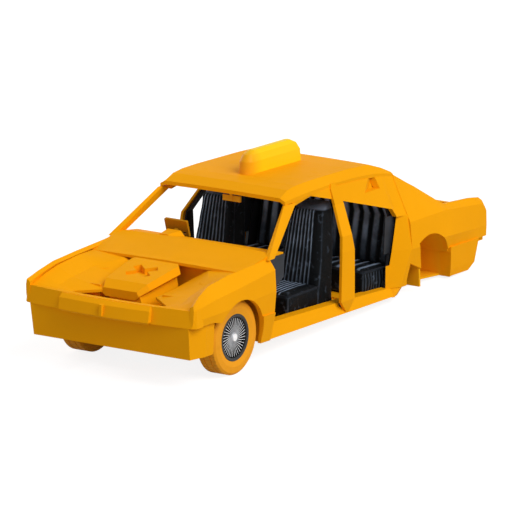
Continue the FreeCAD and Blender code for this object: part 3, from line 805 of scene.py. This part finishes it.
@dataclass(frozen=True)
class Pad:
    """Upholstered form lofted through rectangular stations, in the level frame.

    A station is its place along the pad, then the low and high X, then the low and high of
    the remaining axis. Over the height pale_above the hide is painted a lighter grey, painted
    light on the top that faces up; by default that height is over the whole car.
    """

    name: str
    along: Along
    stations: Sequence[tuple[float, float, float, float, float]]
    channels: Sequence[Channels]
    radius: float
    crown: float
    pale_above: float = 9.0
    inset: float = 0.002
    cell: float = 0.011
    coarseness: float = 1.6
    fewest_cells: int = 4
    filling: Filling = Filling()
    # Edges: part wear, part painted highlight.
    edge_wear_and_highlight: float = 0.22
    worn_highlit_edge: Band = (0.030, 0.006)
    ripple: float = 0.0022
    ripples: float = 9.0
    pale_edge: float = 0.008

    def ends(self) -> Band:
        """Where the pad starts and ends along its length."""
        return self.stations[0][0], self.stations[-1][0]

    def size(self) -> Vector:
        """Greatest width, thickness and length."""
        low, high = self.ends()
        return Vector((max(s[2] - s[1] for s in self.stations), max(s[4] - s[3] for s in self.stations),
                       high - low))

    def section(self, w: float) -> tuple[float, ...]:
        """Station values part of the way along.

        Args:
            w: share of the pad's length.

        Returns:
            Place along the pad, low and high X, low and high of the remaining axis.
        """
        low, high = self.ends()
        at = low + (high - low) * w
        spans = list(zip(self.stations, self.stations[1:]))
        near, far = next((span for span in spans if at <= span[1][0]), spans[-1])
        share = (at - near[0]) / (far[0] - near[0])
        return at, *(a + (b - a) * share for a, b in zip(near[1:], far[1:]))

    def point(self, u: float, v: float, w: float) -> Vector:
        """Place of given shares.

        Args:
            u: share across the pad.
            v: share through it.
            w: share along it.

        Returns:
            The place in the level frame.
        """
        at, a0, a1, b0, b1 = self.section(w)
        x, other = a0 + (a1 - a0) * u, b0 + (b1 - b0) * v
        return Vector((x, other, at)) if self.along is Along.UP else Vector((x, at, other))

    def shares(self, place: Vector) -> Point:
        """Shares of a given place.

        Args:
            place: a place in the level frame.

        Returns:
            Shares across, through and along the pad.
        """
        at, other = (place.z, place.y) if self.along is Along.UP else (place.y, place.z)
        low, high = self.ends()
        w = min(1.0, max(0.0, (at - low) / (high - low)))
        _, a0, a1, b0, b1 = self.section(w)
        return (place.x - a0) / (a1 - a0), (other - b0) / (b1 - b0), w

    def edge_distance(self, shares: Point) -> float:
        """How far a place on the pad lies from its nearest edge, in metres."""
        return sorted(min(share, 1 - share) * length for share, length in zip(shares, self.size()))[1]

    def right_shift(self) -> float:
        """Sideways move that takes this pad of the car's left to its right."""
        return -(self.stations[0][1] + self.stations[0][2])

    def piping_line(self, inset: float, front: float, back: float, steps: int, shift: float) -> list[Point]:
        """Line round the top of a cushion, from the back along one end, the front and the other end.

        Args:
            inset: share across by which the line stays in from the ends.
            front: share along at which it crosses the front.
            back: share along at which it starts and ends.
            steps: points in each of the three runs.
            shift: sideways move of the whole line.

        Returns:
            Points in the level frame.
        """
        high_up = 0.985
        corners = [(1 - inset, back), (1 - inset, front), (inset, front), (inset, back)]
        line = []
        for (u0, w0), (u1, w1) in zip(corners, corners[1:]):
            for share in (i / steps for i in range(steps)):
                place = self.point(u0 + (u1 - u0) * share, high_up, w0 + (w1 - w0) * share)
                line.append((place.x + shift, place.y, place.z))
        return line

    def form(self) -> bmesh.types.BMesh:
        """Closed rounded form with crowned faces.

        Returns:
            A new mesh in the level frame.
        """
        size = self.size()
        pitch = self.cell * self.coarseness
        counts = [max(self.fewest_cells, round(length / pitch)) for length in size]
        build = bmesh.new()
        for axis in range(3):
            for side in (0.0, 1.0):
                self.add_wall(build, axis, side, counts)
        bmesh.ops.remove_doubles(build, verts=build.verts, dist=1e-6)
        for vertex in build.verts:
            vertex.co = self.rounded(vertex.co, size)
        return build

    @staticmethod
    def add_wall(build: bmesh.types.BMesh, axis: int, side: float, counts: Sequence[int]) -> None:
        """Add one wall of the unit box as a grid.

        Args:
            build: the mesh that gets it.
            axis: the axis that the wall stands across.
            side: its place on that axis, 0 or 1.
            counts: cells along each axis.
        """
        first, second = (i for i in range(3) if i != axis)
        grid = []
        for i in range(counts[first] + 1):
            row = []
            for j in range(counts[second] + 1):
                share = [side, side, side]
                share[first] = i / counts[first]
                share[second] = j / counts[second]
                row.append(build.verts.new(share))
            grid.append(row)
        for near, far in zip(grid, grid[1:]):
            for j in range(counts[second]):
                build.faces.new((near[j], far[j], far[j + 1], near[j + 1]))

    def rounded(self, share: Vector, size: Vector) -> Vector:
        """Place of a point of the unit box once edges are turned and faces crowned.

        Args:
            share: the point.
            size: the pad's greatest sizes.

        Returns:
            The place in the level frame.
        """
        metric = Vector(s * length for s, length in zip(share, size))
        core = Vector(min(max(m, self.radius), length - self.radius) for m, length in zip(metric, size))
        away = metric - core
        if away.length > 1e-9:
            metric = core + away.normalized() * self.radius
        centre = size / 2
        shrunk = Vector(c + (m - c) * (1 - 2 * self.inset / length)
                        for c, m, length in zip(centre, metric, size))
        u, v, w = (s / length for s, length in zip(shrunk, size))
        belly = (1 - (2 * u - 1) ** 2) * (1 - (2 * w - 1) ** 2)
        v += math.copysign(self.crown / size[1], v - 0.5) * belly * smooth(0.2, 0.5, abs(v - 0.5))
        return self.point(u, v, w)

    def puff(self, made: bpy.types.Object) -> None:
        """Swell the hide over its filling by a short cloth simulation.

        Args:
            made: the pad, still in the level frame; its mesh is changed.
        """
        remesh = made.modifiers.new("remesh", "REMESH")
        remesh.mode = "VOXEL"
        remesh.voxel_size = self.cell
        apply_modifiers(made)
        rest = [v.co.copy() for v in made.data.vertices]
        cloth = made.modifiers.new("cloth", "CLOTH")
        cloth.settings.use_pressure = True
        cloth.settings.uniform_pressure_force = self.filling.pressure
        cloth.settings.effector_weights.gravity = 0.0
        cloth.settings.tension_stiffness = self.filling.tension
        cloth.settings.compression_stiffness = self.filling.compression
        cloth.settings.quality = self.filling.quality
        cloth.point_cache.frame_start, cloth.point_cache.frame_end = 1, self.filling.frames
        for frame in range(1, self.filling.frames + 1):
            bpy.context.scene.frame_set(frame)
        apply_modifiers(made)
        for vertex, start in zip(made.data.vertices, rest):
            move = vertex.co - start
            if move.length > self.filling.most:
                vertex.co = start + move.normalized() * self.filling.most
        bpy.context.scene.frame_set(1)

    def sew(self, made: bpy.types.Object) -> None:
        """Press the channels into the hide and mark its crests and edges with wear and painted highlight,
        and its top with painted light.

        Args:
            made: the pad, still in the level frame; its mesh is changed.
        """
        divide = made.modifiers.new("divide", "SUBSURF")
        divide.levels = divide.render_levels = 1
        apply_modifiers(made)
        data = made.data
        normals = [v.normal.copy() for v in data.vertices]
        pale_band = self.pale_above - self.pale_edge, self.pale_above + self.pale_edge
        crests, pales = [], []
        for vertex, normal in zip(data.vertices, normals):
            shares = self.shares(vertex.co)
            move = 0.0
            # Edges take wear and a painted highlight; the crests add theirs below.
            worn_and_highlit = self.edge_wear_and_highlight * smooth(*self.worn_highlit_edge, self.edge_distance(shares))
            for row in self.channels:
                drop, crest_wear_highlight = row.height(shares, normal)
                move += drop
                worn_and_highlit = max(worn_and_highlit, crest_wear_highlight)
            ripple = noise.noise(vertex.co * self.ripples) * self.ripple
            vertex.co = vertex.co + normal * (move + ripple)
            crests.append(worn_and_highlit)
            # Pale mark: the top over pale_above is painted lighter, as painted light.
            pales.append(smooth(*pale_band, vertex.co.z))
        for name, values in (("crest_wear_highlight", crests), ("pale", pales)):
            data.attributes.new(name, "FLOAT", "POINT").data.foreach_set("value", values)

    def make(self) -> bpy.types.Object:
        """Build, swell, sew and place the pad.

        Returns:
            A mesh object in the row frame.
        """
        made = mesh_object(self.name, self.form(), HIDE)
        self.puff(made)
        self.sew(made)
        made.data.transform(STANCE.matrix())
        made.data.shade_smooth()
        return made


@dataclass(frozen=True)
class FrontSeats:
    """The two tall front seats: each a cushion, a back, piping and runners."""

    cushion: Pad = Pad(
        "front_cushion_left", Along.BACK,
        ((1.000, 0.230, 0.704, 0.295, 0.488), (1.503, 0.230, 0.702, 0.295, 0.498)),
        # Crests of the top: wear and painted highlight.
        (Channels((0, 0, 1), 8, 0.010, 0.08, 0.78, 0.04, 0.98, wear_and_highlight=0.8, ridge=0.75),),
        radius=0.020, crown=0.008)
    back: Pad = Pad(
        "front_back_left", Along.UP,
        ((0.296, 0.228, 0.704, 1.458, 1.708), (0.500, 0.230, 0.700, 1.503, 1.722),
         (0.720, 0.243, 0.690, 1.547, 1.748), (1.136, 0.271, 0.640, 1.631, 1.796),
         (1.212, 0.300, 0.612, 1.762, 1.800)),
        # Crests of the back: wear and painted highlight, dimmed towards the foot as painted shade; over
        # 1.14 m the top is painted lighter grey as painted light.
        (Channels((0, -1, 0), 8, 0.010, 0.08, 0.78, 0.05, 0.93, wear_and_highlight=0.8, ridge=0.80, highlight_fade=0.8),),
        radius=0.018, crown=0.008, pale_above=1.140)
    welt_radius: float = 0.0045
    runner_x: tuple[float, ...] = (0.280, 0.652)
    runner_y: Band = (1.035, 1.685)
    # X from the runner's middle, Z: a foot, a waist and a head
    runner_section: tuple[Band, ...] = (
        (-0.018, 0.278), (0.018, 0.278), (0.018, 0.282), (0.008, 0.284), (0.008, 0.290),
        (0.016, 0.296), (-0.016, 0.296), (-0.008, 0.290), (-0.008, 0.284), (-0.018, 0.282))

    def build(self) -> list[bpy.types.Object]:
        """Make both seats in place of their plain solids.

        Returns:
            The new pieces.
        """
        made = []
        for pad in (self.cushion, self.back):
            left = pad.make()
            right = moved_copy(left, pad.name.replace("left", "right"), pad.right_shift())
            made += [left, right]
        for side, name in SIDES:
            made += [self.welt(side, name), self.runners(side, name)]
        for piece in made:
            finish = IRON if piece.name.startswith("seat_runners") else HIDE
            settle(piece, finish, "front_seat_left" if piece.name.endswith("left") else "front_seat_right")
        return made

    def welt(self, side: int, name: str) -> bpy.types.Object:
        """Piping round the top of one cushion.

        Args:
            side: 1 for the left, -1 for the right.
            name: the side's name.

        Returns:
            The new piece.
        """
        shift = 0.0 if side > 0 else self.cushion.right_shift()
        line = self.cushion.piping_line(inset=0.012, front=0.03, back=0.98, steps=12, shift=shift)
        return tube("front_welt_" + name, line, self.welt_radius, PIPING)

    def runners(self, side: int, name: str) -> bpy.types.Object:
        """Pair of pressed runners that one seat slides on.

        Args:
            side: 1 for the left, -1 for the right.
            name: the side's name.

        Returns:
            The new piece.
        """
        build = bmesh.new()
        for centre in self.runner_x:
            near, far = ([(side * centre + x, y, z) for x, z in self.runner_section] for y in self.runner_y)
            add_prism(build, near, far)
        made = mesh_object("seat_runners_" + name, build, IRON)
        made.data.shade_flat()
        return made


@dataclass(frozen=True)
class RearBench:
    """Full-width rear bench: cushion with a pleated valance, reclined channelled back, piping."""

    cushion: Pad = Pad(
        "rear_cushion", Along.BACK,
        ((2.150, -0.736, 0.736, 0.285, 0.510), (2.580, -0.736, 0.736, 0.285, 0.500)),
        # Crests: wear and painted highlight.
        (Channels((0, 0, 1), 13, 0.014, 0.02, 0.98, 0.06, 0.98, wear_and_highlight=0.6, ridge=0.8),
         Channels((1, 0, 0), 8, 0.008, 0.06, 0.90, 0.10, 0.86, Run.THROUGH, wear_and_highlight=0.12, ridge=0.8),
         Channels((-1, 0, 0), 8, 0.008, 0.06, 0.90, 0.10, 0.86, Run.THROUGH, wear_and_highlight=0.12, ridge=0.8)),
        radius=0.020, crown=0.006)
    back: Pad = Pad(
        "rear_back", Along.UP,
        ((0.470, -0.736, 0.736, 2.575, 2.762), (0.925, -0.736, 0.736, 2.660, 2.764),
         (1.130, -0.560, 0.560, 2.690, 2.764)),
        # Crests: wear and a strong painted highlight where the cabin is in shade, dimmed towards the foot
        # as painted shade.
        (Channels((0, -1, 0), 13, 0.020, 0.02, 0.98, 0.04, 0.88, wear_and_highlight=1.4, ridge=0.46, highlight_fade=0.92),),
        radius=0.022, crown=0.008)
    welt_radius: float = 0.0050

    def build(self) -> list[bpy.types.Object]:
        """Make the bench in place of its plain solid.

        Returns:
            The new pieces.
        """
        made = [pad.make() for pad in (self.cushion, self.back)]
        line = self.cushion.piping_line(inset=0.004, front=0.035, back=0.97, steps=30, shift=0.0)
        made.append(tube("rear_welt", line, self.welt_radius, PIPING))
        for piece in made:
            settle(piece, HIDE, "rear_seat")
        return made


# ------------------------------------------------------------------ carried-over pieces
def named(frame: Frame, prefixes: Iterable[str]) -> list[str]:
    """Nodes that are a prefix itself or a prefix with a side."""
    wanted = {prefix + tail for prefix in prefixes for tail in ("", "_left", "_right")}
    return sorted(name for name in frame["nodes"] if name in wanted)


def paint_nodes(frame: Frame, prefixes: Iterable[str], finish: Finish) -> None:
    """Put one finish on carried-over nodes.

    Args:
        frame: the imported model.
        prefixes: the nodes' names, without their sides.
        finish: the finish.
    """
    for name in named(frame, prefixes):
        node = frame["nodes"][name]
        node.data.materials.clear()
        node.data.materials.append(finish.material())


@dataclass(frozen=True)
class BodyShell:
    """Painted pressings and the trims fixed to them."""

    frame: Frame
    painted: tuple[str, ...] = (
        "front_wing", "inner_wing", "roof_rail", "b_pillar", "sill", "rear_quarter",
        "front_bumper", "nose_panel", "radiator_panel", "engine_block", "bulkhead", "scuttle",
        "roof_panel", "rear_panel", "boot_floor", "parcel_shelf", "floor_pan")
    slate: tuple[str, ...] = ("b_pillar_trim", "quarter_trim", "dashboard")
    moulded: tuple[str, ...] = ("steering_wheel", "steering_column")

    def dress(self) -> None:
        """Give each node its finish."""
        for prefixes, finish in ((self.painted, BODY), (self.slate, SLATE), (self.moulded, PLASTIC),
                                 (("rear_wheelhouse",), ARCH_LIGHTENED), (("interior_mirror",), MIRROR_LIGHTENED),
                                 (("headlining",), LINING)):
            paint_nodes(self.frame, prefixes, finish)


@dataclass(frozen=True)
class Gussets:
    """Sheet stiffeners behind the step of each rear roof pillar, and the quarter trims' front flaps."""

    pillar: tuple[Point, ...] = ((0.655, 2.270, 1.185), (0.655, 2.610, 1.165), (0.600, 2.610, 1.318),
                                 (0.600, 2.300, 1.326))
    pillar_thickness: float = 0.003
    flap: tuple[Point, ...] = ((0.755, 2.430, 0.620), (0.755, 2.600, 0.620), (0.755, 2.600, 0.955),
                               (0.755, 2.446, 0.955))
    flap_thickness: float = 0.012

    def build(self) -> list[bpy.types.Object]:
        """Make the sheets of both sides.

        Returns:
            The new pieces.
        """
        made = []
        for side, name in SIDES:
            for prefix, corners, thickness, finish in (
                    ("pillar_gusset_", self.pillar, self.pillar_thickness, BODY),
                    ("trim_flap_", self.flap, self.flap_thickness, SLATE)):
                made.append(sheet(prefix + name, corners, side, thickness, finish))
                settle(made[-1], finish)
        return made


@dataclass(frozen=True)
class RunningGear:
    """Front wheels and what carries them."""

    frame: Frame

    def dress(self) -> None:
        """Give each node its finish; the wheels' finishes are centred on their hubs."""
        low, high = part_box("tyre_left")
        hub = ((low + high) / 2).to_tuple()
        tyre = Rubber("tyre_rubber", Slot.TYRE, hub)
        lace = LaceMetal("lace_metal", Slot.WHEEL, hub)
        for prefixes, finish in ((("tyre",), tyre), (("lace_wheel",), lace), (("brake_disc",), DISC),
                                 (("knuckle", "front_subframe", "damper_legs"), IRON)):
            paint_nodes(self.frame, prefixes, finish)


@dataclass(frozen=True)
class RoofSign:
    """Blank roof sign."""

    frame: Frame

    def dress(self) -> None:
        """Fade its colour from its own front end."""
        low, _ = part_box("taxi_sign")
        paint_nodes(self.frame, ("taxi_sign",), SignShell("sign_shell", Slot.SIGN, front_y=low.y))


# ------------------------------------------------------------------ studio
@dataclass(frozen=True)
class Studio:
    """Pale floor, soft light and the camera."""

    azimuth: float = 33.94
    elevation: float = 12.69
    roll: float = 0.71
    eye: Point = (38.54, -55.74, 16.21)
    lens: float = 562.5
    sensor: float = 36.0
    clip: Band = (1.0, 400.0)
    ambient: float = 0.45
    lamp_angle: float = 40.0
    # name, direction it comes from in the level frame, power
    lamps: tuple[tuple[str, Point, float], ...] = (
        ("key", (0.76, -0.16, 0.70), 2.0), ("fill", (-0.85, 0.40, 0.12), 0.9))
    floor_size: float = 150.0
    floor_grey: float = 0.50
    shadow_grey: float = 0.30
    floor_glow: float = 0.86

    def build(self) -> None:
        """Make everything that isn't the car."""
        self.camera()
        self.suns()
        self.sky()
        self.floor()
        bpy.context.scene.view_settings.view_transform = "Standard"

    def camera(self) -> None:
        """Long lens, turned with the car's stance so that the car looks level."""
        a, e, r = (math.radians(angle) for angle in (self.azimuth, self.elevation, self.roll))
        back = Vector((math.sin(a) * math.cos(e), -math.cos(a) * math.cos(e), math.sin(e)))
        right = (-back).cross(Vector((0, 0, 1))).normalized()
        up = right.cross(-back)
        turned_right = right * math.cos(r) + up * math.sin(r)
        turned_up = up * math.cos(r) - right * math.sin(r)
        basis = Matrix((turned_right, turned_up, back)).transposed().to_4x4()
        data = bpy.data.cameras.new("camera")
        data.lens, data.sensor_width = self.lens, self.sensor
        data.clip_start, data.clip_end = self.clip
        made = bpy.data.objects.new("camera", data)
        bpy.context.scene.collection.objects.link(made)
        made.matrix_world = STANCE.matrix() @ Matrix.Translation(self.eye) @ basis
        bpy.context.scene.camera = made

    def suns(self) -> None:
        """Broad lamps: a key from the car's left and a weak fill from behind its right."""
        for name, source, power in self.lamps:
            data = bpy.data.lights.new(name, "SUN")
            data.energy, data.angle = power, math.radians(self.lamp_angle)
            made = bpy.data.objects.new(name, data)
            bpy.context.scene.collection.objects.link(made)
            made.rotation_mode = "QUATERNION"
            toward = STANCE.matrix().to_3x3() @ Vector(source)
            made.rotation_quaternion = toward.to_track_quat("Z", "Y")

    def sky(self) -> None:
        """Even light all round, white where it is seen or mirrored."""
        world = bpy.data.worlds.new("studio")
        bpy.context.scene.world = world
        world.use_nodes = True
        graph = Graph(world.node_tree)
        strength = self.ambient + self.seen(graph) * (1.0 - self.ambient)
        shade = graph.field("ShaderNodeBackground", 0, None, {"Color": WHITE, "Strength": strength})
        graph.node("ShaderNodeOutputWorld", None, {"Surface": shade})

    @staticmethod
    def seen(graph: Graph) -> Field:
        """1 for rays that show the background itself.

        Args:
            graph: the nodes of the floor or the world.

        Returns:
            The sum of three kinds of ray, at most 1.
        """
        path = graph.node("ShaderNodeLightPath")
        camera, glossy, through = (
            Field(graph, path.outputs[name])
            for name in ("Is Camera Ray", "Is Glossy Ray", "Is Transmission Ray"))
        return (camera + glossy).maths("ADD", through, clamp=True)

    def floor(self) -> None:
        """Pale floor that keeps a faint shadow."""
        build = bmesh.new()
        bmesh.ops.create_grid(build, x_segments=1, y_segments=1, size=self.floor_size)
        data = bpy.data.meshes.new("floor")
        build.to_mesh(data)
        build.free()
        made = bpy.data.objects.new("floor", data)
        bpy.context.scene.collection.objects.link(made)
        material = bpy.data.materials.new("floor")
        material.use_nodes = True
        graph = Graph(material.node_tree)
        plain, faint = (graph.field("ShaderNodeBsdfDiffuse", 0, None, {"Color": (grey, grey, grey, 1.0)})
                        for grey in (self.floor_grey, self.shadow_grey))
        glow = graph.field("ShaderNodeEmission", 0, None, {"Color": WHITE, "Strength": self.floor_glow})
        lit = graph.field("ShaderNodeAddShader", 0, None, {0: faint, 1: glow})
        graph.surface(graph.field("ShaderNodeMixShader", 0, None, {0: self.seen(graph), 1: plain, 2: lit}))
        data.materials.append(material)


def main() -> None:
    """Load the frame, dress it, add the upholstery and the studio."""
    logging.basicConfig(level=logging.INFO, format="%(name)s: %(message)s")
    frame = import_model()
    Studio().build()
    for part in (BodyShell(frame), RunningGear(frame), RoofSign(frame)):
        part.dress()
        log.info("dressed %s", type(part).__name__)
    for part in (FrontSeats(), RearBench(), Gussets()):
        for piece in part.build():
            log.info("%s: %d faces", piece.name, len(piece.data.polygons))


if __name__ == "__main__":
    main()
